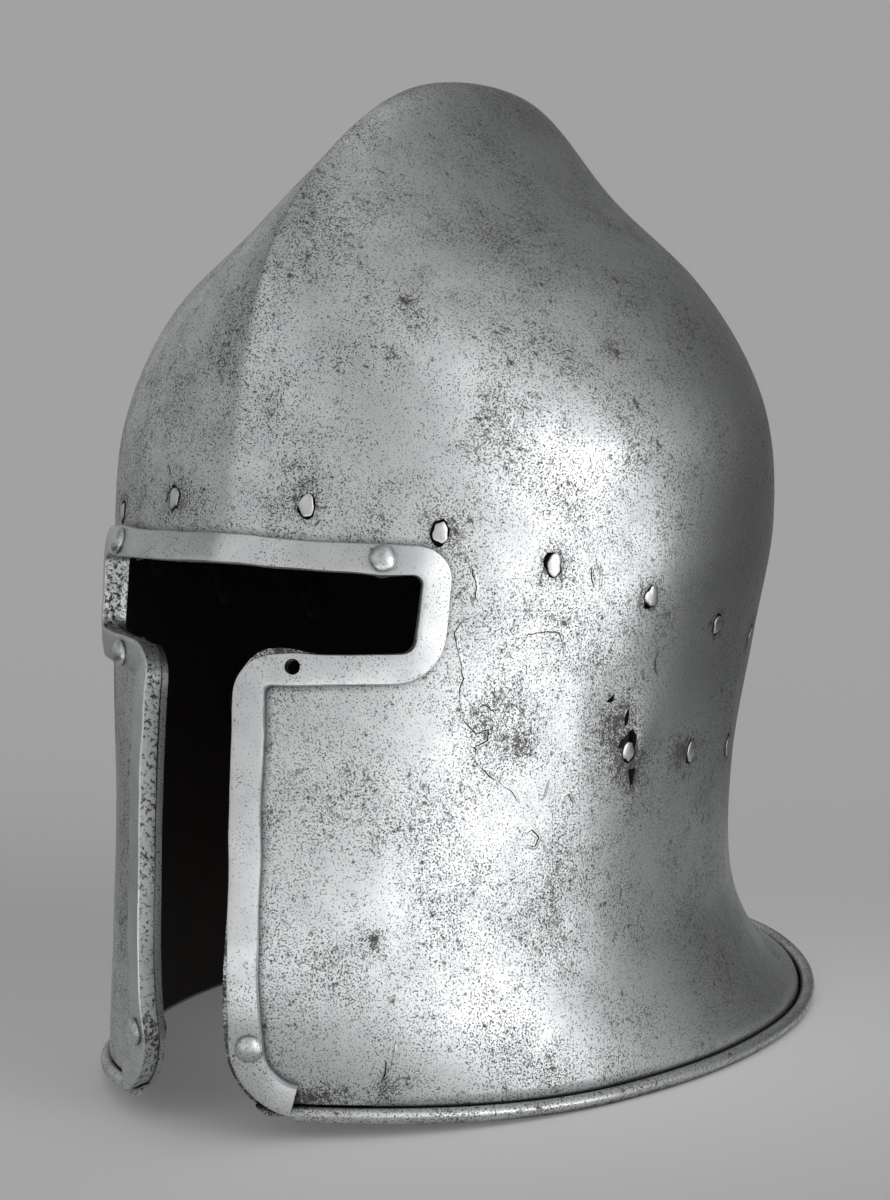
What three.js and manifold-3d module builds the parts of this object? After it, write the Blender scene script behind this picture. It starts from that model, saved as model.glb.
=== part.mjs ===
// Barbute: a helmet raised from one steel plate, with a medial ridge, a T-shaped face opening edged by a
// thick riveted band, and a rolled rim. Millimetres, +Z up, the face looks along -Y, the roll rests on
// Z = 0.
import * as THREE from "three";
import { mergeVertices } from "three/addons/utils/BufferGeometryUtils.js";
import Module from "manifold-3d";

const wasm = await Module();
wasm.setup();

// Overall sizes of the plate. The rim lies flat on the floor at both sides and rises a little to the front
// and the nape.
const HEIGHT = 302.4;
const WALL = 2;
const CROWN_WALL = 3.4;
const ROLL_RADIUS = 2.5;
const RIM_RISE = 6.7;
const RIM_FLAT = 0.4;
const RIM_FADE = 10;
const GAP = 0.3;

// Level sections of the plate's outer face from the crown to the rim: how far the ridge reaches in front,
// how far the nape line reaches behind, and half the width.
const SECTIONS = [
  { z: 298, front: 30, back: 38.5, half: 6.5 },
  { z: 292.6, front: 44, back: 54.5, half: 9.5 },
  { z: 282, front: 63.5, back: 70, half: 16 },
  { z: 263, front: 88, back: 81.5, half: 37.5 },
  { z: 235.5, front: 103.5, back: 91, half: 76.5 },
  { z: 200.5, front: 113.5, back: 100, half: 99 },
  { z: 162.5, front: 123, back: 109, half: 100.5 },
  { z: 123, front: 135, back: 108.5, half: 92.5 },
  { z: 84, front: 142.5, back: 103, half: 86.5 },
  { z: 46.5, front: 146.5, back: 102, half: 86 },
  { z: 21, front: 145.5, back: 112.5, half: 92.5 },
  { z: 0, front: 144, back: 141, half: 101 },
];

// Fullness of the section's quarters (2 is an ellipse), and how far each half's centre lies across the
// middle plane as a share of the half width, which makes the two halves meet in a ridge.
const FRONT_FULLNESS = 1.94;
const BACK_FULLNESS = 2.08;
const CROWN_RIDGE = 0.263;
const BROW_RIDGE = 0.142;
const NAPE_RIDGE = 0.066;
const RIDGE_FADE = { from: 0.1, to: 0.6 };
const WIDEST_SHIFT = 4.6;
const WIDEST_FROM = 0.5;

// The face opening, in distances along the surface from the ridge and in heights.
const EYE = { end: 61, corner: 3.5, browMiddle: 167.8, browEnd: 164, sill: 142 };
const PEEK = { slit: 2.8, sill: 1.6, upTo: 45 };
const SLIT = { half: 13.8, corner: 10.5 };
const CHEEK = { across: 16.4, rise: 20, foot: 12.4 };

// The face band's width and its cross-section: share of the width from the opening's edge, and height over
// the plate.
const BAND_WIDTH = 8.5;
const BAND_SECTION = [
  { share: 0, height: GAP },
  { share: 0, height: 5.1 },
  { share: 0.1, height: 5.8 },
  { share: 0.85, height: 4.2 },
  { share: 1, height: 3 },
  { share: 1, height: GAP },
];

// Rivets and wounds of the plate, by distance along the surface from the ridge (wearer's left positive) and
// by height.
const BAND_RIVETS = [
  { name: "brow_left", at: 49, z: 168.2 },
  { name: "brow_right", at: -50, z: 168 },
  { name: "arm_right", at: -40, z: 138 },
  { name: "cheek_left", at: 18.9, z: 29.4 },
  { name: "cheek_right", at: -19.5, z: 29.4 },
];
const LOST_RIVET = { at: 27.4, z: 139 };
const LINING_RIVETS = [
  { at: 25, z: 184.5 },
  { at: 65, z: 176 },
  { at: 101, z: 164.3 },
  { at: 139, z: 151 },
  { at: 179, z: 137 },
  { at: 219, z: 127 },
  { at: 259, z: 121 },
  { at: 299, z: 118 },
];
const STRAP_RIVETS = [
  { at: 178, z: 97.5 },
  { at: 215, z: 92.5 },
];
const PLUG_RIVET = { at: 142, z: 104 };
const SHOT_HOLE = { at: 131.5, z: 121, radius: 1.7 };
const TEAR = { at: 145, z: 97, top: 5, foot: 1.2, height: 8 };

// Rivet sizes: shanks and holes, then the turned profiles outermost row first.
const BAND_SHANK = 2;
const BAND_HOLE = BAND_SHANK + GAP;
const LINING_SHANK = 2.7;
const LINING_HOLE = LINING_SHANK + GAP;
const CLENCH = { radius: 4.2, height: 1.2, seat: -WALL - 0.8 };
const RIVET_SIDES = 8;
const HEAD_SIDES = 12;

// Resolution of the mesh.
const AROUND = 48;
const OUTER_LEVELS = 23;
const INNER_LEVELS = 16;
const INNER_FROM = 0.2;
const LEVEL_BIAS = 0.8;
const ARC_STEPS = 120;
const DELTA = 0.5;
const SOLVE_STEPS = 6;
const CUT_DEPTH = 14;
const STATION = 11;
const FILLET_STEPS = 3;
const EYE_COLUMNS = 28;
const SLIT_ROWS = 8;
const CORNER_ROWS = 5;
const CHEEK_CLEAR = 1;
const ROLL_STEPS = 5;
const ROLL_FLAT = (3 * Math.PI) / 8;
const ROLL_SEAM = (5 * Math.PI) / 6;
const ROLL_CLEAR = 1.2;

const mix = (a, b, share) => a + (b - a) * share;
const clamp01 = (value) => Math.min(1, Math.max(0, value));
const levelOf = (z) => Math.sqrt(Math.max(0, 1 - z / HEIGHT));
const ROWS = [{ front: 0, back: 0, half: 0, z: HEIGHT }, ...SECTIONS].map((row) => ({
  ...row,
  level: levelOf(row.z),
}));

// A smooth curve through one column of the section table.
function column(name, level) {
  let i = 0;
  while (i < ROWS.length - 2 && ROWS[i + 1].level < level) {
    i += 1;
  }
  const slope = (k) => {
    const before = ROWS[Math.max(k - 1, 0)];
    const after = ROWS[Math.min(k + 1, ROWS.length - 1)];
    return (after[name] - before[name]) / (after.level - before.level);
  };
  const span = ROWS[i + 1].level - ROWS[i].level;
  const u = (level - ROWS[i].level) / span;
  const rise = ROWS[i + 1][name] - ROWS[i][name];
  const enter = slope(i) * span;
  const leave = slope(i + 1) * span;
  return ROWS[i][name] + u * (enter + u * (3 * rise - 2 * enter - leave + u * (enter + leave - 2 * rise)));
}

// One quarter of a section, from the ridge (share 0) to the widest point (share 1).
function quarter(half, reach, keel, fullness, share) {
  const offset = keel * half;
  const start = Math.asin((offset / (half + offset)) ** (fullness / 2));
  const angle = mix(start, Math.PI / 2, share);
  const bend = 2 / fullness;
  const across = (half + offset) * Math.sin(angle) ** bend - offset;
  return { across, along: reach * Math.max(0, Math.cos(angle) / Math.cos(start)) ** bend };
}

// How much of the rim's rise a direction has, and the height of the outer face there at a level.
const riseAt = (turn) => Math.max(0, (Math.abs(Math.cos(Math.PI * turn)) - RIM_FLAT) / (1 - RIM_FLAT)) ** 2;
const heightAt = (level, turn) => HEIGHT * (1 - level * level) + RIM_RISE * level ** RIM_FADE * riseAt(turn);

// The level at which the outer face has a given height in a direction.
function levelAt(z, turn) {
  let level = levelOf(z);
  for (let i = 0; i < SOLVE_STEPS; i += 1) {
    level = Math.min(1, levelOf(z - RIM_RISE * level ** RIM_FADE * riseAt(turn)));
  }
  return level;
}

// The point of the outer face at a level, turned from the front ridge (0) to the nape (1 or -1).
function shellPoint(level, turn, z = heightAt(level, turn)) {
  const front = column("front", level);
  const back = column("back", level);
  const half = column("half", level);
  const centre = (back - front) / 2 + WIDEST_SHIFT * Math.min(1, level / WIDEST_FROM);
  const side = Math.abs(turn);
  const fade = clamp01((level - RIDGE_FADE.from) / (RIDGE_FADE.to - RIDGE_FADE.from));
  const isFront = side <= 0.5;
  const q = isFront
    ? quarter(half, front + centre, mix(CROWN_RIDGE, BROW_RIDGE, fade), FRONT_FULLNESS, side * 2)
    : quarter(half, back - centre, NAPE_RIDGE, BACK_FULLNESS, (1 - side) * 2);
  return new THREE.Vector3(Math.sign(turn) * q.across, centre + (isFront ? -q.along : q.along), z);
}

// The point of the outer face at a height and a distance along the section from the front ridge.
function surfacePoint(distance, z) {
  let last = shellPoint(levelAt(z, 0), 0, z);
  let left = Math.abs(distance);
  for (let i = 1; i <= ARC_STEPS; i += 1) {
    const next = shellPoint(levelAt(z, i / ARC_STEPS), i / ARC_STEPS, z);
    const step = next.distanceTo(last);
    if (step >= left) {
      last.lerp(next, left / step);
      break;
    }
    left -= step;
    last = next;
  }
  last.x *= Math.sign(distance);
  return last;
}

// The point with its outward direction and the directions along and up the surface.
function frameAt(distance, z) {
  const along = surfacePoint(distance + DELTA, z).sub(surfacePoint(distance - DELTA, z)).normalize();
  const up = surfacePoint(distance, z + DELTA).sub(surfacePoint(distance, z - DELTA)).normalize();
  const out = along.clone().cross(up).normalize();
  return { at: surfacePoint(distance, z), along, up, out };
}

function lift(distance, z, height) {
  const frame = frameAt(distance, z);
  return frame.at.addScaledVector(frame.out, height);
}

// A closed mesh from its corner points and triangles, ready to be joined and cut.
function solid(points, triangles) {
  const raw = new THREE.BufferGeometry();
  raw.setAttribute("position", new THREE.Float32BufferAttribute(points.flatMap((p) => p.toArray()), 3));
  raw.setIndex(triangles.flat());
  const merged = mergeVertices(raw);
  return new wasm.Manifold(
    new wasm.Mesh({
      numProp: 3,
      vertProperties: new Float32Array(merged.attributes.position.array),
      triVerts: new Uint32Array(merged.index.array),
    }),
  );
}

// Rings of points skinned one after another, each counter-clockwise seen from the first end, with a point at
// each end.
function skin(rings, firstEnd, lastEnd) {
  const count = rings[0].length;
  const points = [...rings.flat(), firstEnd, lastEnd];
  const first = points.length - 2;
  const last = points.length - 1;
  const triangles = [];
  for (let j = 0; j < count; j += 1) {
    const k = (j + 1) % count;
    triangles.push([first, j, k]);
    for (let i = 0; i < rings.length - 1; i += 1) {
      const here = i * count;
      const below = here + count;
      triangles.push([here + j, below + j, below + k], [here + j, below + k, here + k]);
    }
    const end = (rings.length - 1) * count;
    triangles.push([last, end + k, end + j]);
  }
  return solid(points, triangles);
}

// A patch of the surface given thickness, from rows of distance and height, left to right and bottom to top.
function slab(grid, low, high) {
  const rows = grid.length - 1;
  const columns = grid[0].length - 1;
  const points = [low, high].flatMap((height) => grid.flat().map((spot) => lift(spot.at, spot.z, height)));
  const stride = columns + 1;
  const layer = stride * (rows + 1);
  const triangles = [];
  const quad = (a, b, c, d) => triangles.push([a, b, c], [a, c, d]);
  for (let r = 0; r < rows; r += 1) {
    for (let c = 0; c < columns; c += 1) {
      const a = r * stride + c;
      quad(layer + a, layer + a + 1, layer + a + 1 + stride, layer + a + stride);
      quad(a, a + stride, a + 1 + stride, a + 1);
    }
  }
  const top = rows * stride;
  for (let c = 0; c < columns; c += 1) {
    quad(c, c + 1, layer + c + 1, layer + c);
    quad(top + c + 1, top + c, layer + top + c, layer + top + c + 1);
  }
  for (let r = 0; r < rows; r += 1) {
    const a = r * stride;
    const b = a + columns;
    quad(a + stride, a, layer + a, layer + a + stride);
    quad(b, b + stride, layer + b + stride, layer + b);
  }
  return solid(points, triangles);
}

// A turned piece on an axis: rows of radius and height, outermost first, with the axis met at both ends.
function turned(frame, profile, sides) {
  const side = frame.along;
  const rise = frame.out.clone().cross(side);
  const on = (radius, height, angle) =>
    frame.at
      .clone()
      .addScaledVector(frame.out, height)
      .addScaledVector(side, radius * Math.cos(angle))
      .addScaledVector(rise, radius * Math.sin(angle));
  const rings = profile.map((row) =>
    Array.from({ length: sides }, (_, i) => on(row.radius, row.height, (2 * Math.PI * i) / sides)),
  );
  const heights = profile.map((row) => row.height);
  return skin(rings, on(0, Math.max(...heights), 0), on(0, Math.min(...heights), 0));
}

// The plate before it is cut: outer face, rolled rim and inner face in one loop.
function plate() {
  const turns = Array.from({ length: AROUND }, (_, j) => (j <= AROUND / 2 ? j : j - AROUND) / (AROUND / 2));
  const wallEnd = levelOf(2 * ROLL_RADIUS + ROLL_CLEAR);
  const rings = [];
  for (let i = 1; i <= OUTER_LEVELS; i += 1) {
    const level = wallEnd * (i / OUTER_LEVELS) ** LEVEL_BIAS;
    rings.push(turns.map((turn) => shellPoint(level, turn)));
  }
  const rolls = turns.map((turn) => rollPoints(spotAt(wallEnd, turn), turn));
  rolls[0].forEach((_, k) => rings.push(rolls.map((roll) => roll[k])));
  for (let i = INNER_LEVELS; i >= 1; i -= 1) {
    const level = mix(INNER_FROM, wallEnd, ((i - 1) / (INNER_LEVELS - 1)) ** LEVEL_BIAS);
    rings.push(
      turns.map((turn) => {
        const spot = spotAt(level, turn);
        return spot.at.addScaledVector(spot.out, -WALL);
      }),
    );
  }
  return skin(rings, new THREE.Vector3(0, 0, HEIGHT), new THREE.Vector3(0, 0, HEIGHT - CROWN_WALL));
}

// A point of the outer face by level and turn, with its outward direction.
function spotAt(level, turn) {
  const step = DELTA / AROUND;
  const wrap = (value) => (value > 1 ? value - 2 : value);
  const around = shellPoint(level, wrap(turn + step)).sub(shellPoint(level, turn - step));
  const down = shellPoint(level + step, turn).sub(shellPoint(level - step, turn));
  return { at: shellPoint(level, turn), out: down.cross(around).normalize() };
}

// The section of the rolled rim under a wall's end, from its seam on the outer face round to the inner face.
function rollPoints(spot, turn) {
  const outward = new THREE.Vector3(spot.out.x, spot.out.y, 0).normalize();
  const lean = Math.asin(spot.out.z);
  const overhang = ROLL_RADIUS - WALL;
  const middle = ROLL_RADIUS * Math.cos(Math.PI / 8) + RIM_RISE * riseAt(turn);
  const length = (spot.at.z - middle + overhang * Math.sin(lean)) / Math.cos(lean);
  const centre = spot.at
    .clone()
    .addScaledVector(outward, length * Math.sin(lean) + overhang * Math.cos(lean))
    .setZ(middle);
  const seam = ROLL_SEAM + lean;
  const angles = [];
  for (let k = 0; k < ROLL_STEPS; k += 1) {
    angles.push(mix(seam, -ROLL_FLAT, k / ROLL_STEPS));
  }
  angles.push(-ROLL_FLAT, ROLL_FLAT - Math.PI, lean - Math.PI);
  return angles.map((angle) =>
    centre
      .clone()
      .addScaledVector(outward, ROLL_RADIUS * Math.cos(angle))
      .setZ(middle + ROLL_RADIUS * Math.sin(angle)),
  );
}

// The T-shaped opening of the plate as two patches: the eyes, and the slit with its rounded lower corners.
function eyeGrid() {
  const end = EYE.end + GAP;
  const corner = EYE.corner;
  const columns = Array.from({ length: EYE_COLUMNS + 1 }, (_, i) => i / EYE_COLUMNS);
  const spots = columns.map((share) => end * Math.sin(Math.PI * (share - 1 / 2)));
  const round = (at) => corner - Math.sqrt(corner ** 2 - Math.max(0, Math.abs(at) - end + corner) ** 2);
  const peek = (at) => PEEK.sill * Math.max(0, 1 - Math.abs(at) / PEEK.upTo) - GAP;
  const sill = (at) => EYE.sill + peek(at) + round(at);
  const brow = (at) => browAt(at) + GAP - round(at);
  return [0, 1 / 2, 1].map((share) => spots.map((at) => ({ at, z: mix(sill(at), brow(at), share) })));
}

const browAt = (at) => mix(EYE.browMiddle, EYE.browEnd, Math.abs(at) / EYE.end);

function slitGrid() {
  const inner = SLIT.half - PEEK.slit;
  const outer = SLIT.half + CHEEK.across + CHEEK_CLEAR;
  const rows = [{ half: outer, z: -CUT_DEPTH }];
  for (let i = 0; i <= CORNER_ROWS; i += 1) {
    const angle = (Math.PI / 2) * (1 - i / CORNER_ROWS);
    rows.push({
      half: inner + (outer - inner) * (1 - Math.cos(angle)),
      z: CHEEK.foot - CHEEK_CLEAR + CHEEK.rise * (1 - Math.sin(angle)),
    });
  }
  const top = EYE.sill + EYE.corner;
  const foot = rows[rows.length - 1].z;
  for (let i = 1; i <= SLIT_ROWS; i += 1) {
    rows.push({ half: inner, z: mix(foot, top, i / SLIT_ROWS) });
  }
  return rows.map((row) => [-1, -1 / 2, 0, 1 / 2, 1].map((share) => ({ at: share * row.half, z: row.z })));
}

// The band's edge at the opening on the wearer's left, from the brow's middle down to the cheek's foot.
function bandCorners() {
  return [
    { at: 0, z: EYE.browMiddle, radius: 0 },
    { at: EYE.end, z: EYE.browEnd, radius: EYE.corner },
    { at: EYE.end, z: EYE.sill, radius: EYE.corner },
    { at: SLIT.half, z: EYE.sill, radius: SLIT.corner },
    { at: SLIT.half, z: CHEEK.foot, radius: CHEEK.across },
    { at: SLIT.half + CHEEK.across, z: CHEEK.foot, radius: 0 },
  ];
}

// A path through corners with rounded turns, in steps no longer than a station.
function rounded(corners) {
  const flat = corners.map((corner) => new THREE.Vector2(corner.at, corner.z));
  const path = [flat[0]];
  const lineTo = (target) => {
    const from = path[path.length - 1].clone();
    const steps = Math.round(from.distanceTo(target) / STATION + DELTA);
    for (let i = 1; i <= steps; i += 1) {
      path.push(from.clone().lerp(target, i / steps));
    }
  };
  for (let i = 1; i < flat.length - 1; i += 1) {
    const back = flat[i - 1].clone().sub(flat[i]).normalize();
    const ahead = flat[i + 1].clone().sub(flat[i]).normalize();
    const half = back.angleTo(ahead) / 2;
    const reach = corners[i].radius / Math.tan(half);
    const start = flat[i].clone().addScaledVector(back, reach);
    const inward = back.clone().add(ahead).normalize();
    const centre = flat[i].clone().addScaledVector(inward, corners[i].radius / Math.sin(half));
    lineTo(start);
    const spoke = start.clone().sub(centre);
    const sweep = Math.sign(back.cross(ahead)) * (2 * half - Math.PI);
    for (let k = 1; k <= FILLET_STEPS; k += 1) {
      const arm = spoke.clone().rotateAround(new THREE.Vector2(), (sweep * k) / FILLET_STEPS);
      path.push(arm.add(centre));
    }
  }
  lineTo(flat[flat.length - 1]);
  return path;
}

// The band's stations from the right cheek over the brow to the left cheek, with the direction out of the
// opening.
function bandStations() {
  const half = rounded(bandCorners());
  const mirrored = half.slice(1).map((p) => new THREE.Vector2(-p.x, p.y));
  const path = [...mirrored.reverse(), ...half];
  return path.map((spot, i) => {
    const run = path[Math.min(i + 1, path.length - 1)].clone().sub(path[Math.max(i - 1, 0)]).normalize();
    return { spot, away: new THREE.Vector2(-run.y, run.x) };
  });
}

function bandRing({ spot, away }) {
  return BAND_SECTION.map((row) => {
    const p = spot.clone().addScaledVector(away, row.share * BAND_WIDTH);
    return lift(p.x, p.y, row.height);
  });
}

function centreOf(ring) {
  const sum = ring.reduce((total, p) => total.add(p), new THREE.Vector3());
  return sum.divideScalar(ring.length);
}

function band() {
  const rings = bandStations().map(bandRing);
  return skin(rings, centreOf(rings[0]), centreOf(rings[rings.length - 1]));
}

// A round tool on the surface that opens a hole.
function drill(spot, radius, sides) {
  const rows = [
    { radius, height: CUT_DEPTH },
    { radius, height: -CUT_DEPTH },
  ];
  return turned(frameAt(spot.at, spot.z), rows, sides);
}

// The two faces of the T opening and every hole, taken out of the plate and the band.
const mirrorOf = (spot) => ({ ...spot, at: -spot.at });
const flush = [...LINING_RIVETS, ...STRAP_RIVETS];
const tearGrid = [0, 1].map((row) =>
  [-1, 1].map((side) => ({
    at: TEAR.at + (side * mix(TEAR.foot, TEAR.top, row)) / 2,
    z: TEAR.z + (row - 1 / 2) * TEAR.height,
  })),
);
const bandHoles = [...BAND_RIVETS, LOST_RIVET].map((spot) => drill(spot, BAND_HOLE, RIVET_SIDES));
const plateCuts = [
  slab(eyeGrid(), -CUT_DEPTH, CUT_DEPTH),
  slab(slitGrid(), -CUT_DEPTH, CUT_DEPTH),
  slab(tearGrid, -CUT_DEPTH / 2, CUT_DEPTH / 2),
  drill(SHOT_HOLE, SHOT_HOLE.radius, RIVET_SIDES),
  drill(PLUG_RIVET, LINING_HOLE, RIVET_SIDES),
  ...[...flush, ...flush.map(mirrorOf)].map((spot) => drill(spot, LINING_HOLE, RIVET_SIDES)),
  ...bandHoles,
];
const skull = plateCuts.reduce((body, cut) => body.subtract(cut), plate());
const faceBand = bandHoles.reduce((body, hole) => body.subtract(hole), band());

// A flush rivet: a low head level with the plate, its shank and the clench inside.
const flushProfile = [
  { radius: LINING_SHANK * 0.62, height: 0.55 },
  { radius: LINING_SHANK, height: 0.15 },
  { radius: LINING_SHANK, height: CLENCH.seat },
  { radius: CLENCH.radius, height: CLENCH.seat },
  { radius: CLENCH.radius * 0.8, height: CLENCH.seat - CLENCH.height },
];
const flushRivet = (spot) => turned(frameAt(spot.at, spot.z), flushProfile, RIVET_SIDES);

// A domed rivet over the band, seated on its sloping face.
const headSeat = 5.6 + GAP;
const headProfile = [
  { radius: 1.5, height: headSeat + 2.3 },
  { radius: 3, height: headSeat + 1.5 },
  { radius: 3.9, height: headSeat + 0.3 },
  { radius: 3.9, height: headSeat },
  { radius: BAND_SHANK, height: headSeat },
  { radius: BAND_SHANK, height: CLENCH.seat },
  { radius: CLENCH.radius, height: CLENCH.seat },
  { radius: CLENCH.radius * 0.8, height: CLENCH.seat - CLENCH.height },
];
const domedRivet = (spot) => turned(frameAt(spot.at, spot.z), headProfile, HEAD_SIDES);

const STEEL = { color: 0x9a9a98, roughness: 0.34, metalness: 1 };
const BAND_STEEL = { color: 0xa6a6a3, roughness: 0.4, metalness: 1 };
const RIVET_STEEL = { color: 0x84837f, roughness: 0.45, metalness: 1 };

const group = new THREE.Group();
function addNode(name, body, look) {
  const mesh = body.getMesh();
  const geometry = new THREE.BufferGeometry();
  geometry.setAttribute("position", new THREE.BufferAttribute(new Float32Array(mesh.vertProperties), 3));
  geometry.setIndex(new THREE.BufferAttribute(new Uint32Array(mesh.triVerts), 1));
  const node = new THREE.Mesh(geometry, new THREE.MeshStandardMaterial(look));
  node.name = name;
  group.add(node);
}

addNode("skull", skull, STEEL);
addNode("face_band", faceBand, BAND_STEEL);
for (const spot of BAND_RIVETS) {
  addNode(`band_rivet_${spot.name}`, domedRivet(spot), RIVET_STEEL);
}
LINING_RIVETS.forEach((spot, i) => {
  addNode(`lining_rivet_left_${i + 1}`, flushRivet(spot), RIVET_STEEL);
  addNode(`lining_rivet_right_${i + 1}`, flushRivet(mirrorOf(spot)), RIVET_STEEL);
});
STRAP_RIVETS.forEach((spot, i) => {
  addNode(`strap_rivet_left_${i + 1}`, flushRivet(spot), RIVET_STEEL);
  addNode(`strap_rivet_right_${i + 1}`, flushRivet(mirrorOf(spot)), RIVET_STEEL);
});
addNode("plug_rivet", flushRivet(PLUG_RIVET), RIVET_STEEL);

// The origin moves to the middle of the depth, under the helmet.
const box = new THREE.Box3().setFromObject(group);
for (const node of group.children) {
  node.geometry.translate(0, -(box.min.y + box.max.y) / 2, 0);
}

export default group;
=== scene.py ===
"""Barbute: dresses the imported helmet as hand-raised steel with a forged face band and worn rivets."""

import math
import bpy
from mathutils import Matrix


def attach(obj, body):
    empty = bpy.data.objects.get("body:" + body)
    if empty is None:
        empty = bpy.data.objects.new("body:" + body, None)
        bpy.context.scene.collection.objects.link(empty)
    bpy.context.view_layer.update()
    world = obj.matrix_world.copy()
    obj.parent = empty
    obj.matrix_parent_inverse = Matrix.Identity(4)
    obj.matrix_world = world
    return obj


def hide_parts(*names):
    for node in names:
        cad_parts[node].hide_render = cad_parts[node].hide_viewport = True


bl_info = {
    "name": "Barbute",
    "version": (1, 0, 0),
    "blender": (4, 5, 0),
    "location": "View3D > Sidebar > Barbute",
    "description": "Builds a hand-raised steel helmet over its measured frame",
    "category": "Object",
}

import bpy
import numpy as np
from mathutils import Matrix, Vector, noise

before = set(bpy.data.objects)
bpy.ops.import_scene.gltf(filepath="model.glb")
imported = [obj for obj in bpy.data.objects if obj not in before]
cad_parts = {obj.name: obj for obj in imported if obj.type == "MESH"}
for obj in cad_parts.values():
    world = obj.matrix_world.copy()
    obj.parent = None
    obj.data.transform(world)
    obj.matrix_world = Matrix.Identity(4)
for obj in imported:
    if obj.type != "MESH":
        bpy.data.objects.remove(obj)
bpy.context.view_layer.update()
MM = 0.001

# The plate in millimetres, by the frame's own sections: height, reach of the ridge in front, reach of the
# nape line behind, and half the width.
HEIGHT = 302.4
SECTIONS = (
    (298.0, 30.0, 38.5, 6.5),
    (292.6, 44.0, 54.5, 9.5),
    (282.0, 63.5, 70.0, 16.0),
    (263.0, 88.0, 81.5, 37.5),
    (235.5, 103.5, 91.0, 76.5),
    (200.5, 113.5, 100.0, 99.0),
    (162.5, 123.0, 109.0, 100.5),
    (123.0, 135.0, 108.5, 92.5),
    (84.0, 142.5, 103.0, 86.5),
    (46.5, 146.5, 102.0, 86.0),
    (21.0, 145.5, 112.5, 92.5),
    (0.0, 144.0, 141.0, 101.0),
)
Z, FRONT, BACK, HALF = range(4)

# Fullness of the sections in front and behind, sharpness of the ridge at crown, brow and nape and the
# levels between which it changes, how far the widest place lies back and from which level, how high the rim
# rises in front and behind, with its flat share and how fast it fades upward, and the plate's thickness at
# the crown.
FRONT_FULLNESS, BACK_FULLNESS = 1.94, 2.08
CROWN_RIDGE, BROW_RIDGE, NAPE_RIDGE = 0.263, 0.142, 0.066
RIDGE_FADE = (0.1, 0.6)
WIDEST_SHIFT, WIDEST_FROM = 4.6, 0.5
RIM_RISE, RIM_FLAT, RIM_FADE = 6.7, 0.4, 10
CROWN_WALL = 3.4

# The edge of the face opening along the surface: distance from the ridge, height and corner radius, from the
# brow's middle to the cut end at the foot of a cheek. The slit leans a little to the wearer's right.
BROW_MIDDLE, BROW_END, SILL = 167.8, 164.0, 142.0
EYE_END, EYE_CORNER, SILL_CORNER, SLIT_BEND, FOOT_CORNER = 61.0, 3.5, 10.5, 90.0, 20.5
LEFT_EDGE = (
    (0.0, BROW_MIDDLE, 0.0),
    (EYE_END, BROW_END, EYE_CORNER),
    (EYE_END, SILL, EYE_CORNER),
    (10.8, SILL, SILL_CORNER),
    (13.2, 100.0, SLIT_BEND),
    (14.2, 72.0, SLIT_BEND),
    (14.2, 14.0, FOOT_CORNER),
    (29.6, 9.0, 0.0),
)
RIGHT_EDGE = (
    (0.0, BROW_MIDDLE, 0.0),
    (EYE_END, BROW_END, EYE_CORNER),
    (EYE_END, SILL, EYE_CORNER),
    (21.5, SILL, SILL_CORNER),
    (18.2, 100.0, SLIT_BEND),
    (16.2, 72.0, SLIT_BEND),
    (15.0, 14.0, FOOT_CORNER),
    (30.0, 9.0, 0.0),
)

# How far the plate shows past the band: all along the slit, over the sill of the left cheek (most at one
# distance, less away from it) and towards the foot of the left cheek.
PEEK_SLIT, PEEK_SILL, PEEK_AT, PEEK_SPREAD, PEEK_FOOT = 0.7, 2.6, 22.0, 10.0, 2.4

# How far under the sill the sill's share ends and over how much height it fades, and the height under which
# the foot's share starts and over how much height it grows.
SILL_DROP, SILL_RUN, FOOT_FROM, FOOT_RUN = 16, 10, 80, 45

# Cross-section of the band: share of its width from the opening, and height over the plate. Its first faces
# are the worn edge, and its top slopes away from the opening.
BAND_SECTION = (
    (0.0, 0.05),
    (0.0, 2.6),
    (0.0, 5.05),
    (0.03, 5.4),
    (0.05, 5.42),
    (0.2, 5.3),
    (0.5, 4.95),
    (0.8, 4.55),
    (0.95, 4.3),
    (0.97, 4.25),
    (1.0, 3.85),
    (1.0, 1.5),
    (1.0, 0.05),
)
BAND_EDGE_FACES = 2
BAND_SLOPE = 0.2

# Rivets by their distance along the surface from the ridge, the wearer's left positive, and their height.
BAND_RIVETS = {
    "band_rivet_brow_left": (49.0, 168.2),
    "band_rivet_brow_right": (-50.0, 168.0),
    "band_rivet_arm_right": (-40.0, 138.0),
    "band_rivet_cheek_left": (18.9, 29.4),
    "band_rivet_cheek_right": (-19.5, 29.4),
}
LOST_RIVET = (27.4, 138.6)
LINING_ROW = (
    (25.0, 184.5),
    (65.0, 176.0),
    (101.0, 164.3),
    (139.0, 151.0),
    (179.0, 137.0),
    (219.0, 127.0),
    (259.0, 121.0),
    (299.0, 118.0),
)
STRAP_ROW = ((178.0, 97.5), (215.0, 92.5))
PLUG = (142.0, 104.0)

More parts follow.
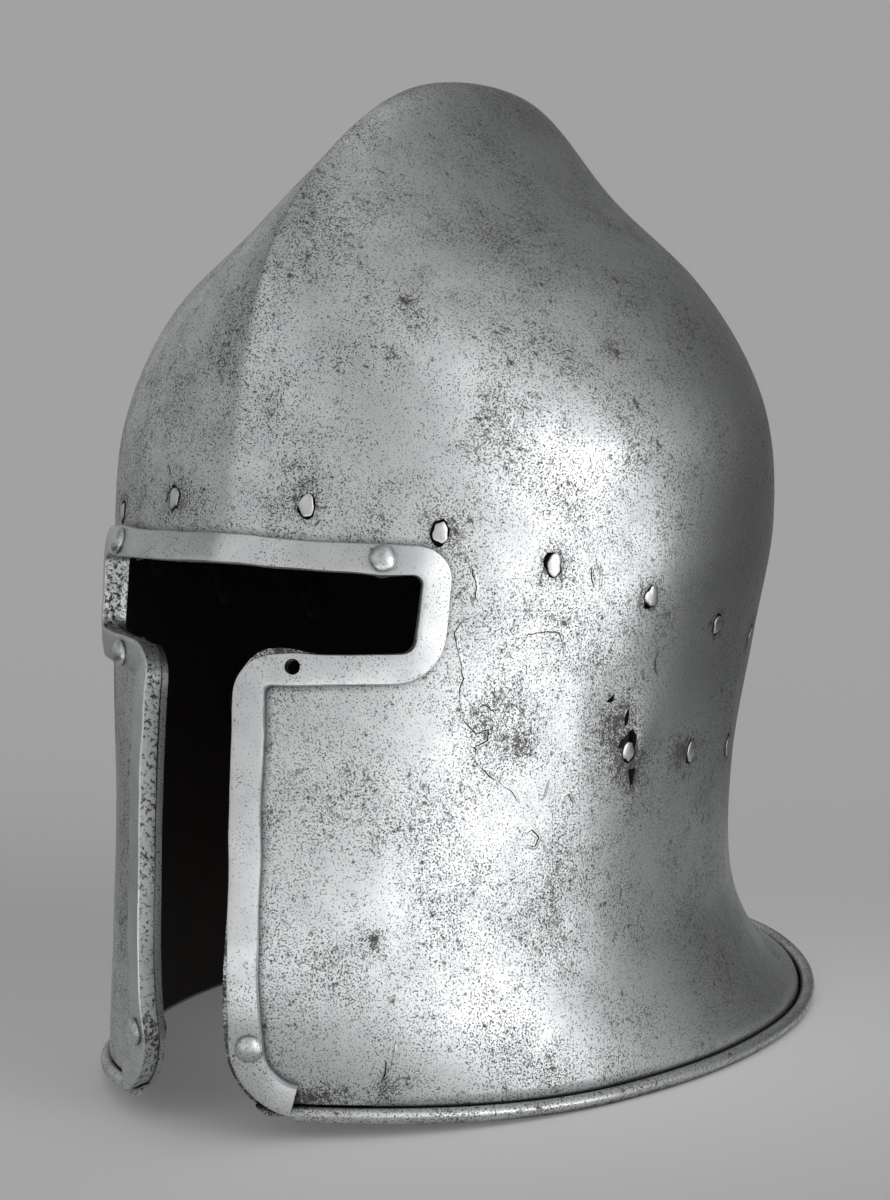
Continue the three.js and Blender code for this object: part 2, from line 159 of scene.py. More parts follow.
# The torn place on the left and the crack above the rim: each hole's place, and its outline as offsets along
# and up the surface.
TEARS = (
    ((131.7, 121.3), ((-1.7, -0.9), (0.6, -1.6), (1.7, -0.8), (1.5, 1.5), (0.2, 0.3))),
    ((140.2, 114.2), ((-0.5, -2.8), (0.7, -2.0), (0.9, 0.6), (0.3, 2.9), (-0.5, 1.8), (-1.0, -0.4))),
    ((141.6, 107.6), ((-4.1, -2.4), (3.3, -2.4), (3.4, 0.6), (1.4, 3.0), (-0.6, 1.6), (-3.2, -0.1))),
    ((144.9, 95.8), ((0.5, -3.4), (1.4, -2.6), (1.5, 2.6), (-1.7, 2.2), (-0.9, -0.2))),
    (
        (57.0, 17.0),
        ((0.5, 2.6), (-0.5, 0.6), (-0.7, -3.4), (0.1, -3.6), (0.4, 0.2), (1.2, 2.3), (1.7, 5.6), (1.2, 5.8)),
    ),
)

# Dents of the plate: distance, height, radius and depth, inward negative.
DENTS = (
    (134.0, 117.0, 13.0, -1.1),
    (147.0, 104.0, 7.0, 1.0),
    (110.0, 130.0, 26.0, -0.5),
    (60.0, 70.0, 22.0, 0.4),
    (-60.0, 90.0, 30.0, -0.6),
    (-120.0, 190.0, 34.0, -0.6),
    (200.0, 220.0, 40.0, 0.6),
)

# Lips where a layer of the plate has lifted, and cracks, as runs of distance and height.
LIPS = (
    ((75, 166), (77, 162), (78, 157), (79, 155)),
    ((83, 153), (75, 150), (73, 147), (75, 141), (78, 133), (77, 129), (79, 122)),
    ((79, 122), (84, 117), (88, 118), (88, 114), (84, 113), (85, 108), (90, 104), (99, 97), (101, 94)),
    ((90, 138), (95, 143), (96, 145), (104, 145), (107, 144), (109, 140)),
    ((93, 110), (98, 108), (101, 109), (102, 111)),
    ((84, 126), (89, 123), (92, 125)),
    ((111, 100), (109, 94), (108, 96)),
    ((117, 90), (117, 94), (119, 95), (121, 91)),
    ((103, 84), (106, 86), (109, 83), (108, 80), (104, 81)),
    ((114, 163), (116, 156)),
    ((117, 164), (118, 155)),
    ((149, 134), (148, 131), (149, 128), (151, 125)),
    ((133, 158), (135, 153)),
    ((62, 29), (60, 21), (57, 17), (55, 12)),
    ((-22, 182), (-20, 177), (-19, 172)),
    ((-28, 190), (-31, 194)),
)

# Stains of the plate, some of them partly painted shade: distance, height, radius and strength. Below, radius
# and strength of those at rivets.
STAINS_AND_SHADE = (
    (56, 59, 3.2, 0.7),
    (116, 224, 3.0, 0.5),
    (44, 228, 2.0, 0.6),
    (45, 242, 2.0, 0.5),
    (171, 99, 6.0, 0.6),
    (137, 113, 9.0, 0.6),
    (145, 97, 6.0, 0.5),
    (58, 16, 5.0, 0.6),
    (88, 122, 6.0, 0.3),
    # Over the left sill: painted shade on the plate that shows above the band.
    (15, 145, 4.0, 0.95),
    (23, 146, 4.5, 0.95),
    (31, 145, 4.0, 0.9),
    # Along the left slit and round its foot: rust and painted shade on the plate that shows past the band.
    (11, 70, 4.0, 0.95),
    (11, 58, 4.0, 0.95),
    (11, 46, 4.0, 0.95),
    (11, 34, 4.0, 0.95),
    (12, 22, 4.0, 0.95),
    (17, 13, 4.0, 0.95),
    (24, 9, 4.0, 0.95),
    (11, 28, 4.5, 0.97),
    (12, 16, 4.5, 0.97),
    (14, 11, 4.5, 0.97),
    (20, 8, 4.5, 0.97),
    # Over the rim beside the left band's foot: dirt and painted shade between band and rim.
    (32, 13, 2.6, 0.95),
    (36, 13, 2.4, 0.9),
    (40, 14, 2.2, 0.85),
    (45, 14, 2.2, 0.7),
    (100, 111, 5.0, 0.4),
    (-70, 120, 8.0, 0.5),
    (-150, 170, 9.0, 0.5),
    (250, 60, 9.0, 0.5),
)
FLUSH_STAIN, BAND_STAIN = (5.0, 0.75), (5.2, 0.6)


class BarbuteSizes(bpy.types.PropertyGroup):
    """Sizes of the pieces that a maker would change."""

    wall: bpy.props.FloatProperty(
        name="Plate", description="Thickness of the raised plate", default=2.0 * MM, unit="LENGTH"
    )
    roll: bpy.props.FloatProperty(
        name="Roll", description="Radius of the rolled rim", default=2.4 * MM, unit="LENGTH"
    )
    band: bpy.props.FloatProperty(
        name="Band", description="Width of the face band", default=8.5 * MM, unit="LENGTH"
    )
    hammer: bpy.props.FloatProperty(
        name="Hammering", description="Unevenness of the hand-raised plate", default=0.2 * MM, unit="LENGTH"
    )
    head: bpy.props.FloatProperty(
        name="Rivet head", description="Radius of the band's domed rivets", default=4.0 * MM, unit="LENGTH"
    )
    flush: bpy.props.FloatProperty(
        name="Flush rivet", description="Radius of the lining's rivets", default=2.4 * MM, unit="LENGTH"
    )


class BarbuteLooks(bpy.types.PropertyGroup):
    """Colours of the finishes, as sRGB hex values."""

    steel: bpy.props.StringProperty(name="Steel", description="Worn bright plate", default="d2d4d5")
    tarnish: bpy.props.StringProperty(name="Tarnish", description="Dull patches of plate", default="a7a9ab")
    # The pit colour is also the colour that the painted shade in corners darkens to.
    pit_and_shade: bpy.props.StringProperty(name="Pits", description="Rust-black pits", default="2b2928")
    scale: bpy.props.StringProperty(name="Scale", description="Forge-black inside", default="1c1817")
    rust: bpy.props.StringProperty(name="Rust", description="Brown cast of the scale", default="352c27")
    floor: bpy.props.StringProperty(name="Floor", description="Plain pale floor", default="d6d7d6")


def sizes():
    """The sizes in millimetres."""
    group = bpy.context.scene.barbute_sizes
    return {name: getattr(group, name) / MM for name in BarbuteSizes.__annotations__}


def looks(name):
    """A finish's colour as a linear one."""
    return linear(getattr(bpy.context.scene.barbute_looks, name))


def mix(a, b, share):
    """The value at a share of the way from one to another."""
    return a + (b - a) * share


def unit(v):
    """Vectors made one long."""
    return v / np.maximum(np.linalg.norm(v, axis=-1, keepdims=True), 1e-12)


def level_of(z):
    """How far down the plate a height lies, from 0 at the crown to 1 at the foot."""
    return np.sqrt(np.maximum(0.0, 1.0 - np.asarray(z, float) / HEIGHT))


ROWS = np.array(((HEIGHT, 0.0, 0.0, 0.0), *SECTIONS))
LEVELS = level_of(ROWS[:, Z])
AFTER = np.minimum(np.arange(len(ROWS)) + 1, len(ROWS) - 1)
BEFORE = np.maximum(np.arange(len(ROWS)) - 1, 0)
SLOPES = (ROWS[AFTER] - ROWS[BEFORE]) / (LEVELS[AFTER] - LEVELS[BEFORE])[:, None]


def column(name, level):
    """A smooth curve through one column of the section table."""
    i = np.clip(np.searchsorted(LEVELS, level) - 1, 0, len(LEVELS) - 2)
    span = LEVELS[i + 1] - LEVELS[i]
    u = (level - LEVELS[i]) / span
    rise = ROWS[i + 1, name] - ROWS[i, name]
    enter = SLOPES[i, name] * span
    leave = SLOPES[i + 1, name] * span
    bend = 3 * rise - 2 * enter - leave + u * (enter + leave - 2 * rise)
    return ROWS[i, name] + u * (enter + u * bend)


# Rounds in which a level is found from a height.
LEVEL_ROUNDS = 6


def rise_at(turn):
    """The share of the rim's rise in a direction: none at the sides, all at the front and the nape."""
    return np.maximum(0.0, (np.abs(np.cos(np.pi * turn)) - RIM_FLAT) / (1 - RIM_FLAT)) ** 2


def height_at(level, turn):
    """The plate's height at a level, with the rim's rise in a direction."""
    return HEIGHT * (1 - level**2) + RIM_RISE * level**RIM_FADE * rise_at(turn)


def level_at(z, turn):
    """The level at which the plate has a given height in a direction."""
    level = level_of(z) + 0.0 * turn
    for _ in range(LEVEL_ROUNDS):
        level = np.minimum(1.0, level_of(z - RIM_RISE * level**RIM_FADE * rise_at(turn)))
    return level


def shell_point(level, turn, z=None):
    """The plate's outer face at a level, turned from the front ridge (0) to the nape (1 or -1)."""
    level, turn = np.broadcast_arrays(np.asarray(level, float), np.asarray(turn, float))
    front, back, half = (np.maximum(column(name, level), 1e-6) for name in (FRONT, BACK, HALF))
    centre = (back - front) / 2 + WIDEST_SHIFT * np.minimum(1.0, level / WIDEST_FROM)
    side = np.abs(turn)
    ahead = side <= 0.5
    fade = np.clip((level - RIDGE_FADE[0]) / (RIDGE_FADE[1] - RIDGE_FADE[0]), 0, 1)
    keel = np.where(ahead, mix(CROWN_RIDGE, BROW_RIDGE, fade), NAPE_RIDGE) * half
    bend = 2 / np.where(ahead, FRONT_FULLNESS, BACK_FULLNESS)
    reach = np.where(ahead, front + centre, centre - back)
    start = np.arcsin((keel / (half + keel)) ** (1 / bend))
    angle = mix(start, np.pi / 2, np.where(ahead, side, 1 - side) * 2)
    across = (half + keel) * np.sin(angle) ** bend - keel
    along = reach * np.maximum(0.0, np.cos(angle) / np.cos(start)) ** bend
    up = height_at(level, turn) if z is None else z + 0.0 * level
    return np.stack([np.sign(turn) * across, centre - along, up], -1)


# Steps along half a section in which distances are measured.
ARC_STEPS = 150


def surface_point(distance, z):
    """The plate's outer face at heights and at distances along the section from the front ridge."""
    distance, z = np.broadcast_arrays(np.asarray(distance, float), np.asarray(z, float))
    far, up = np.abs(distance).ravel(), z.ravel()
    turn = np.linspace(0, 1, ARC_STEPS + 1)[None, :]
    line = shell_point(level_at(up[:, None], turn), turn, up[:, None])
    step = np.linalg.norm(np.diff(line, axis=1), axis=2)
    run = np.concatenate([np.zeros((len(far), 1)), np.cumsum(step, 1)], 1)
    i = np.clip((run < far[:, None]).sum(1) - 1, 0, ARC_STEPS - 1)
    row = np.arange(len(far))
    share = (far - run[row, i]) / step[row, i]
    point = mix(line[row, i], line[row, i + 1], share[:, None])
    point[:, 0] *= np.sign(distance.ravel())
    return point.reshape(*distance.shape, 3)


def frame_at(distance, z, delta=0.5):
    """The surface's points with the directions along, up and out of it."""
    distance, z = np.asarray(distance, float), np.asarray(z, float)
    along = unit(surface_point(distance + delta, z) - surface_point(distance - delta, z))
    up = unit(surface_point(distance, z + delta) - surface_point(distance, z - delta))
    return surface_point(distance, z), along, up, unit(np.cross(along, up))


def lift(distance, z, height):
    """Points at heights over the plate's outer face."""
    at, _, _, out = frame_at(distance, z)
    return at + out * np.asarray(height, float)[..., None]


# How far the noise moves from one seed to the next, and round a turned piece and from one such piece to the
# next.
SEED_STEPS = (17.3, 5.1, 9.7)
LUMP_ROUND, LUMP_SEED = 1.3, 3.1


def wander(points, size, seed):
    """Smooth noise from -1 to 1 at each point, with features of a size in millimetres."""
    shift = Vector([seed * step for step in SEED_STEPS])
    values = [noise.noise(Vector(p) / size + shift) for p in points.reshape(-1, 3)]
    return np.array(values).reshape(points.shape[:-1])


# The frame's own shift in depth, which is where the plate's highest point lies.
DEPTH_SHIFT = max((v.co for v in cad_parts["skull"].data.vertices), key=lambda co: co.z).y / MM


def add_object(name, data):
    """Adds an object to the scene."""
    thing = bpy.data.objects.new(name, data)
    bpy.context.scene.collection.objects.link(thing)
    return thing


def add_mesh(name, points, faces, materials=(), shades=None):
    """A smooth mesh object from millimetre points, with a material number for each face."""
    mesh = bpy.data.meshes.new(name)
    placed = (np.asarray(points) + (0, DEPTH_SHIFT, 0)) * MM
    mesh.from_pydata(placed.tolist(), [], [[int(i) for i in face] for face in faces])
    for material in materials:
        mesh.materials.append(material)
    if shades is not None:
        mesh.polygons.foreach_set("material_index", np.asarray(shades, np.int32))
    mesh.polygons.foreach_set("use_smooth", np.ones(len(mesh.polygons), bool))
    return add_object(name, mesh)


def place(piece, nodes):
    """Puts a piece in the frame instead of its plain solids."""
    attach(piece, "root")
    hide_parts(*nodes)


def skin(rings, ends):
    """Points and faces of rings joined one after another, closed by a point at each end."""
    rows, count = rings.shape[:2]
    points = np.concatenate([rings.reshape(-1, 3), np.asarray(ends)])
    first, last = len(points) - 2, len(points) - 1
    j = np.arange(count)
    k = (j + 1) % count
    faces = [(first, a, b) for a, b in zip(j, k)]
    for i in range(rows - 1):
        here, below = i * count, (i + 1) * count
        faces += list(zip(here + j, below + j, below + k, here + k))
    end = (rows - 1) * count
    faces += [(last, end + b, end + a) for a, b in zip(j, k)]
    return points, faces


def slab(distance, z, low, high):
    """Points and faces of a patch of the surface with thickness, from a grid of distances and heights."""
    rows, columns = distance.shape
    points = np.concatenate([lift(distance, z, np.full(z.shape, h)).reshape(-1, 3) for h in (low, high)])
    layer = rows * columns
    ident = np.arange(layer).reshape(rows, columns)
    a, b, c, d = ident[:-1, :-1], ident[:-1, 1:], ident[1:, 1:], ident[1:, :-1]
    faces = [*zip((layer + a).flat, (layer + b).flat, (layer + c).flat, (layer + d).flat)]
    faces += [*zip(a.flat, d.flat, c.flat, b.flat)]
    border = [*ident[0, :-1], *ident[:-1, -1], *ident[-1, :0:-1], *ident[:0:-1, 0]]
    for p, q in zip(border, border[1:] + border[:1]):
        faces.append((p, q, layer + q, layer + p))
    return points, faces


def turned(spot, profile, sides, lean=(0.0, 0.0), tall=1.0, lumps=0.0, seed=0.0):
    """Points and faces of a piece turned about the plate's outward direction, unevenly as if hammered."""
    at, along, up, out = frame_at(*spot)
    axis = unit(out + along * lean[0] + up * lean[1])
    side = unit(along - axis * np.dot(along, axis))
    rise = np.cross(axis, side)
    angle = np.arange(sides) * 2 * math.pi / sides
    bumps = [
        noise.noise((math.cos(a) * LUMP_ROUND + seed, math.sin(a) * LUMP_ROUND, seed * LUMP_SEED))
        for a in angle
    ]
    spread = 1 + lumps * np.array(bumps)
    ring = (spread * np.cos(angle))[:, None] * side + (spread * tall * np.sin(angle))[:, None] * rise
    rings = np.array([at + axis * height + ring * radius for radius, height in profile])
    heights = [height for _, height in profile]
    return skin(rings, [at + axis * max(heights), at + axis * min(heights)])


def punch(spot, outline, depth):
    """Points and faces of a straight-sided body through the plate, from an outline along and up it."""
    at, along, up, out = frame_at(*spot)
    ring = np.array([along * a + up * b for a, b in outline])
    rings = np.array([at + ring + out * depth, at + ring - out * depth])
    return skin(rings, [at + out * depth, at - out * depth])


def joined(parts):
    """Several point and face lists as one."""
    points, faces, base = [], [], 0
    for part_points, part_faces in parts:
        points.append(part_points)
        faces += [tuple(int(i) + base for i in face) for face in part_faces]
        base += len(part_points)
    return np.concatenate(points), faces


def cut(piece, bodies, shade):
    """Takes closed bodies out of a piece for good, and gives the cut faces one of its materials."""
    for points, faces in bodies:
        tool = add_mesh("tool", points, faces, piece.data.materials, [shade] * len(faces))
        step = piece.modifiers.new("Cut", "BOOLEAN")
        step.operation = "DIFFERENCE"
        step.solver = "MANIFOLD"
        step.object = tool
        with bpy.context.temp_override(object=piece, active_object=piece):
            bpy.ops.object.modifier_apply(modifier=step.name)
        bpy.data.objects.remove(tool)


def crisp(piece, degrees):
    """Keeps edges sharper than an angle hard and shades the rest smoothly."""
    with bpy.context.temp_override(object=piece, active_object=piece, selected_editable_objects=[piece]):
        bpy.ops.object.shade_smooth_by_angle(angle=math.radians(degrees))


def stain_and_shade(piece, spots):
    """Marks how dark each vertex of a piece is made, from spots with a radius and a strength: real stains,
    and in some spots painted shade.
    """
    mesh = piece.data
    flat = np.empty(len(mesh.vertices) * 3)
    mesh.vertices.foreach_get("co", flat)
    points = flat.reshape(-1, 3) / MM - (0, DEPTH_SHIFT, 0)
    clean = np.ones(len(points))
    for distance, z, radius, strength in spots:
        away = np.linalg.norm(points - surface_point(distance, z), axis=1)
        clean *= 1 - strength * np.exp(-((away / radius) ** 2))
    mesh.attributes.new("grime_and_shade", "FLOAT", "POINT").data.foreach_set("value", 1 - clean)


def linear(code):
    """An sRGB hex value as a linear colour."""
    srgb = [int(code[i : i + 2], 16) / 255 for i in (0, 2, 4)]
    return (*(c / 12.92 if c <= 0.04045 else ((c + 0.055) / 1.055) ** 2.4 for c in srgb), 1.0)


def add(tree, kind, inputs, output=0, **settings):
    """Adds a shader node with its settings, links or constant inputs, and gives one of its outputs."""
    node = tree.nodes.new(kind)
    for name, value in settings.items():
        setattr(node, name, value)
    for socket, value in inputs.items():
        if isinstance(value, bpy.types.NodeSocket):
            tree.links.new(value, node.inputs[socket])
        else:
            node.inputs[socket].default_value = value
    return node.outputs[output] if len(node.outputs) else None


def new_material(name):
    """An empty material and its nodes."""
    material = bpy.data.materials.new(name)
    material.use_nodes = True
    material.node_tree.nodes.clear()
    return material, material.node_tree


def per_mm(size):
    """The texture scale that gives features of a size in millimetres."""
    return 1.0 / (size * MM)


# Sizes in millimetres of what shows in the metals: patches of thick and thin pitting, dull clouds, larger
# pits and the finest ones, hammer marks and their depth, the reach of the painted shade in corners, and the
# mottle of scale. The finest pits are smaller in the real plate, and are drawn at this size so that they
# show.
PATCH_SIZE, CLOUD_SIZE, BLOT_SIZE, PEPPER_SIZE = 26, 9, 2.4, 0.55
MARK_SIZE, MARK_DEPTH, CORNER_SHADE_REACH, MOTTLE_SIZE = 15, 0.2, 2.6, 12

# Noise values between which the finest and the larger pits set in, how far patches and the marked grime and
# painted shade shift them, the black, roughness and depth that pits bring, the dullness and roughness of
# clouds, and how much colour the painted shade in corners leaves.
PEPPER_FROM, PEPPER_TO, BLOT_FROM, BLOT_TO = 0.52, 0.64, 0.575, 0.69
PATCH_SHIFT, GRIME_AND_SHADE_SHIFT, PIT_SHARE, PIT_ROUGHNESS, PIT_RELIEF = 0.05, 0.2, 0.88, 0.25, -0.3
CLOUD_SHARE, CLOUD_ROUGHNESS, CORNER_SHADE_SHARE = 0.35, 0.12, 0.12


def pitted_steel(name, roughness, pitting, grain=PEPPER_SIZE):
    """Old steel, hammered and polished: soft broad reflections, dull clouds, and rust-black pepper pits that
    lie thick in some patches and thin in others. Sockets 1 to 4 of a map range are its limits before and
    after, and 6 and 7 of a mix are its colours."""
    material, tree = new_material(name)
    at = add(tree, "ShaderNodeTexCoord", {}, "Object")
    patch = {"Vector": at, "Scale": per_mm(PATCH_SIZE), "Detail": 4.0, "Roughness": 0.62}
    patch = add(tree, "ShaderNodeTexNoise", patch)
    patch = {"Value": patch, 1: 0.34, 2: 0.66, 3: -PATCH_SHIFT, 4: PATCH_SHIFT}
    patch = add(tree, "ShaderNodeMapRange", patch)
    # Marked spots thicken the pits: real stains, and in some places painted shade.
    grime_and_shade = add(tree, "ShaderNodeAttribute", {}, "Fac", attribute_name="grime_and_shade")
    grimy_and_shaded = add(tree, "ShaderNodeMath", {0: grime_and_shade, 1: GRIME_AND_SHADE_SHIFT, 2: patch}, operation="MULTIPLY_ADD")
    pepper = {"Vector": at, "Scale": per_mm(grain), "Detail": 2.0, "Roughness": 0.65}
    pepper = add(tree, "ShaderNodeTexNoise", pepper)
    pepper = add(tree, "ShaderNodeMath", {0: pepper, 1: grimy_and_shaded}, operation="ADD")
    pepper = {"Value": pepper, 1: PEPPER_FROM - pitting, 2: PEPPER_TO - pitting}
    pepper = add(tree, "ShaderNodeMapRange", pepper)
    blots = {"Vector": at, "Scale": per_mm(BLOT_SIZE), "Detail": 4.0, "Roughness": 0.72}
    blots = add(tree, "ShaderNodeTexNoise", blots)
    blots = add(tree, "ShaderNodeMath", {0: blots, 1: grimy_and_shaded}, operation="ADD")
    blots = {"Value": blots, 1: BLOT_FROM - pitting, 2: BLOT_TO - pitting}
    blots = add(tree, "ShaderNodeMapRange", blots)
    pits = add(tree, "ShaderNodeMath", {0: pepper, 1: blots}, operation="MAXIMUM")
    cloud = add(tree, "ShaderNodeTexNoise", {"Vector": at, "Scale": per_mm(CLOUD_SIZE), "Detail": 3.0})
    cloud = add(tree, "ShaderNodeMapRange", {"Value": cloud, 1: 0.35, 2: 0.72, 3: 0.0, 4: CLOUD_SHARE})
    colour = {0: cloud, 6: looks("steel"), 7: looks("tarnish")}
    colour = add(tree, "ShaderNodeMix", colour, 2, data_type="RGBA")
    share = add(tree, "ShaderNodeMath", {0: pits, 1: PIT_SHARE}, operation="MULTIPLY")
    colour = add(tree, "ShaderNodeMix", {0: share, 6: colour, 7: looks("pit_and_shade")}, 2, data_type="RGBA")
    # Painted shade: an ambient occlusion lookup darkens corners, creases and gaps towards the pit colour.
    corner = add(tree, "ShaderNodeAmbientOcclusion", {"Distance": CORNER_SHADE_REACH * MM}, "AO", samples=3)
    corner = add(tree, "ShaderNodeMapRange", {"Value": corner, 1: 0.35, 2: 0.9, 3: CORNER_SHADE_SHARE, 4: 1.0})
    colour = add(tree, "ShaderNodeMix", {0: corner, 6: looks("pit_and_shade"), 7: colour}, 2, data_type="RGBA")
    rough = add(tree, "ShaderNodeMath", {0: pits, 1: PIT_ROUGHNESS, 2: roughness}, operation="MULTIPLY_ADD")
    rough = add(tree, "ShaderNodeMath", {0: cloud, 1: CLOUD_ROUGHNESS, 2: rough}, operation="MULTIPLY_ADD")
    hammered = add(tree, "ShaderNodeTexNoise", {"Vector": at, "Scale": per_mm(MARK_SIZE), "Detail": 2.0})
    relief = add(tree, "ShaderNodeMath", {0: pits, 1: PIT_RELIEF, 2: hammered}, operation="MULTIPLY_ADD")
    bump = add(tree, "ShaderNodeBump", {"Height": relief, "Strength": 0.5, "Distance": MARK_DEPTH * MM})
    metal = {"Base Color": colour, "Metallic": 1.0, "Roughness": rough, "Normal": bump}
    shader = add(tree, "ShaderNodeBsdfPrincipled", metal)
    add(tree, "ShaderNodeOutputMaterial", {"Surface": shader})
    return material


def scaled_iron(name, dark, brown, roughness):
    """Unpolished iron: matt, nearly black oxide with a brown cast."""
    material, tree = new_material(name)
    at = add(tree, "ShaderNodeTexCoord", {}, "Object")
    mottle = {"Vector": at, "Scale": per_mm(MOTTLE_SIZE), "Detail": 5.0}
    mottle = add(tree, "ShaderNodeTexNoise", mottle, "Fac")
    colour = add(tree, "ShaderNodeMix", {0: mottle, 6: dark, 7: brown}, 2, data_type="RGBA")
    oxide = {"Base Color": colour, "Metallic": 0.2, "Roughness": roughness}
    shader = add(tree, "ShaderNodeBsdfPrincipled", oxide)
    add(tree, "ShaderNodeOutputMaterial", {"Surface": shader})
    return material


# Fineness of the plate's mesh, the level where its inner face starts, how its levels crowd, the height left
# clear over the roll, and the angles between which the roll turns.
AROUND, OUTER_LEVELS, INNER_LEVELS, ROLL_STEPS = 288, 165, 50, 13
INNER_FROM, LEVEL_BIAS, ROLL_CLEAR = 0.2, 0.8, 1.2
ROLL_FROM, ROLL_TO = 5 * np.pi / 6, -np.pi

# Sizes of the broad and the fine hammer work, and the fine one's share.
HAMMER_BROAD, HAMMER_FINE, FINE_SHARE = 48, 17, 0.25

# The plate's materials by number.
STEEL, INSIDE, CRACK = range(3)


def plate_normals(level, turn):
    """The directions out of the plate."""
    step = 0.5 / AROUND
    wrap = np.where(turn + step > 1, turn + step - 2, turn + step)
    around = shell_point(level, wrap) - shell_point(level, turn - step)
    down = shell_point(np.minimum(level + step, 1.0), turn) - shell_point(level - step, turn)
    return unit(np.cross(down, around))


def uneven(points, size):
    """How far each point of the plate stands out or in: hammer work and dents."""
    out = size["hammer"] * (
        wander(points, HAMMER_BROAD, 1) + FINE_SHARE * wander(points, HAMMER_FINE, 2)
    )
    for distance, z, radius, depth in DENTS:
        away = np.linalg.norm(points - surface_point(distance, z), axis=-1)
        out = out + depth * np.exp(-((away / radius) ** 2))
    return out


def rim_rings(edge, out, turn, size):
    """Rings of the rim, rolled outward from the plate's lower edge and round to its inner face."""
    lean = np.arcsin(out[:, 2])
    outward = unit(out * (1, 1, 0))
    hang = size["roll"] - size["wall"]
    middle = size["roll"] + RIM_RISE * rise_at(turn)
    length = (edge[:, 2] - middle + hang * np.sin(lean)) / np.cos(lean)
    centre = edge + outward * (length * np.sin(lean) + hang * np.cos(lean))[:, None]
    centre[:, 2] = middle
    rings = []
    for k in range(ROLL_STEPS + 1):
        angle = mix(ROLL_FROM + lean, lean + ROLL_TO, k / ROLL_STEPS)
        point = centre + outward * (size["roll"] * np.cos(angle))[:, None]
        point[:, 2] = middle + size["roll"] * np.sin(angle)
        rings.append(point)
    return np.array(rings)


def plate_rings(size):
    """Rings of the plate's outer face, rolled rim and inner face, and the count of rings outside."""
    turn = np.arange(AROUND) / (AROUND / 2)
    turn = np.where(turn > 1, turn - 2, turn)
    wall_end = level_of(2 * size["roll"] + ROLL_CLEAR)
    outer = wall_end * ((np.arange(OUTER_LEVELS) + 1) / OUTER_LEVELS) ** LEVEL_BIAS
    inner = mix(INNER_FROM, wall_end, (np.arange(INNER_LEVELS) / (INNER_LEVELS - 1)) ** LEVEL_BIAS)[::-1]
    outside = shell_point(outer[:, None], turn[None, :])
    out = plate_normals(outer[:, None], turn[None, :])
    outside = outside + out * uneven(outside, size)[..., None]
    inside = shell_point(inner[:, None], turn[None, :])
    back = plate_normals(inner[:, None], turn[None, :])
    inside = inside + back * (uneven(inside, size) - size["wall"])[..., None]
    roll = rim_rings(outside[-1], out[-1], turn, size)
    return np.concatenate([outside, roll, inside]), len(outside) + len(roll)


# Fewest steps round a path's corner, length of the band's steps, depth of the cutting bodies, and a drill's
# sides.
CORNER_STEPS, BAND_STATION, CUT_DEPTH, DRILL_SIDES = 10, 1.6, 14.0, 20

# The bodies that cut the face opening: how far under the band the eyes' edge lies, columns and rows of both
# bodies, how far the slit's reaches into the eyes' and how much wider it is at the foot.
EYE_MARGIN, EYE_COLUMNS, EYE_ROWS = 0.3, 61, 5
SLIT_COLUMNS, SLIT_ROWS, SLIT_OVERLAP, FOOT_MARGIN = 11, 90, 4.0, 1.6


def rounded(corners, station):
    """A path through corners with rounded turns, in even steps, as distance and height."""
    spots = [np.array(corner[:2]) for corner in corners]
    path = [spots[0]]

    def line_to(target):
        start = path[-1]
        count = max(1, round(float(np.linalg.norm(target - start)) / station))
        path.extend(mix(start, target, (i + 1) / count) for i in range(count))

    for i in range(1, len(spots) - 1):
        back, ahead = unit(spots[i - 1] - spots[i]), unit(spots[i + 1] - spots[i])
        half = math.acos(float(np.clip(np.dot(back, ahead), -1, 1))) / 2
        radius = corners[i][2]
        start = spots[i] + back * radius / math.tan(half)
        centre = spots[i] + unit(back + ahead) * radius / math.sin(half)
        line_to(start)
        spoke = start - centre
        sweep = (2 * half - math.pi) * math.copysign(1, back[0] * ahead[1] - back[1] * ahead[0])
        count = max(CORNER_STEPS, round(abs(sweep) * radius / station))
        for k in range(1, count + 1):
            c, s = math.cos(sweep * k / count), math.sin(sweep * k / count)
            path.append(centre + np.array((c * spoke[0] - s * spoke[1], s * spoke[0] + c * spoke[1])))
    line_to(spots[-1])
    return np.array(path)


def band_path():
    """The band's edge at the opening, from right cheek over brow to left cheek, and the way out from it."""
    left, right = rounded(LEFT_EDGE, BAND_STATION), rounded(RIGHT_EDGE, BAND_STATION)
    path = np.concatenate([right[:0:-1] * (-1, 1), left])
    run = unit(np.gradient(path, axis=0))
    return path, np.stack([-run[:, 1], run[:, 0]], -1)


def sill_peek(distance):
    """How far the plate shows over the sill."""
    return PEEK_SILL * np.exp(-(((distance - PEEK_AT) / PEEK_SPREAD) ** 2))


def eye_tool():
    """The body that opens the plate between the brow and the sills."""
    end = EYE_END + EYE_MARGIN
    distance = end * np.sin(np.linspace(-math.pi / 2, math.pi / 2, EYE_COLUMNS))
    past = np.maximum(0, np.abs(distance) - end + EYE_CORNER)
    curve = EYE_CORNER - np.sqrt(EYE_CORNER**2 - past**2)
    low = SILL - EYE_MARGIN + sill_peek(distance) + curve
    high = mix(BROW_MIDDLE, BROW_END, np.abs(distance) / EYE_END) + EYE_MARGIN - curve
    rows = np.linspace(0, 1, EYE_ROWS)[:, None]
    return slab(np.repeat(distance[None, :], EYE_ROWS, 0), mix(low, high, rows), -CUT_DEPTH, CUT_DEPTH)


